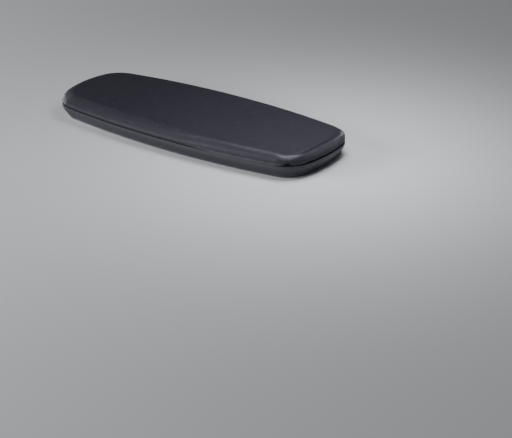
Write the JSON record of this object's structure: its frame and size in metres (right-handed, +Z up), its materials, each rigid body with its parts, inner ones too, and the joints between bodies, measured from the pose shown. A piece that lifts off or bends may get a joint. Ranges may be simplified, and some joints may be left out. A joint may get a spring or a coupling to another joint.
{
  "type": "chair armrest pad",
  "caption": "Soft-topped chair armrest pad on a rimmed base, with a hub below that bolts to the arm post and lets the pad slide fore and aft and swivel between detents.",
  "frame": {"origin": "centre of the hub's face that sits on the arm post, on the swivel axis", "axes": "+X towards the front of the chair along the pad's length, +Y towards the sitter, +Z up out of the soft top"},
  "size_m": [0.2595, 0.105, 0.024],
  "materials": {
    "pad_skin": "fine leather grain, satin",
    "base_plastic": "fine spark texture, satin",
    "steel_plate": "black e-coat",
    "hub_metal": "cast, black powder coat",
    "zinc_screw": "zinc plated",
    "black_screw": "black oxide",
    "bright_steel": "hardened, ground",
    "spring_steel": "blued spring steel",
    "bearing_plastic": "natural acetal",
    "rail_plastic": "moulded acetal",
    "shield_plastic": "sheet polypropylene",
    "stop_rubber": "moulded rubber",
    "insert_brass": "turned brass"
  },
  "bodies": {
    "mount": {"mount_hub": "hub_metal", "swivel_stop_pin": "bright_steel", "detent_disc": "bright_steel", "cone_washer": "spring_steel", "pivot_bolt": "zinc_screw"},
    "carriage": {"carriage_plate": "steel_plate", "pivot_bush": "bearing_plastic", "thrust_washer": "bearing_plastic", "glide_shoes": "bearing_plastic", "dust_shield": "shield_plastic", "shield_rivets": "zinc_screw", "slide_detent_spring": "spring_steel", "swivel_detent_spring": "spring_steel", "spring_posts": "zinc_screw"},
    "pad": {"base_rim": "base_plastic", "slide_tray": "base_plastic", "inner_guide_rail": "rail_plastic", "outer_guide_rail": "rail_plastic", "rail_screws": "zinc_screw", "detent_rack": "bright_steel", "front_end_stops": "stop_rubber", "rear_end_stops": "stop_rubber", "backing_plate": "steel_plate", "threaded_inserts": "insert_brass", "pad_screws": "black_screw", "pad_cushion": "pad_skin"}
  },
  "joints": [
    {"name": "pad_swivel", "type": "hinge", "parent": "mount", "child": "carriage", "pos_m": [0, 0, 0], "axis": [0, 0, 1], "range_deg": [-20, 20], "deforming": ["swivel_detent_spring"]},
    {"name": "pad_slide", "type": "slide", "parent": "carriage", "child": "pad", "axis": [1, 0, 0], "range_m": [-0.024, 0.024], "deforming": ["slide_detent_spring"]}
  ]
}
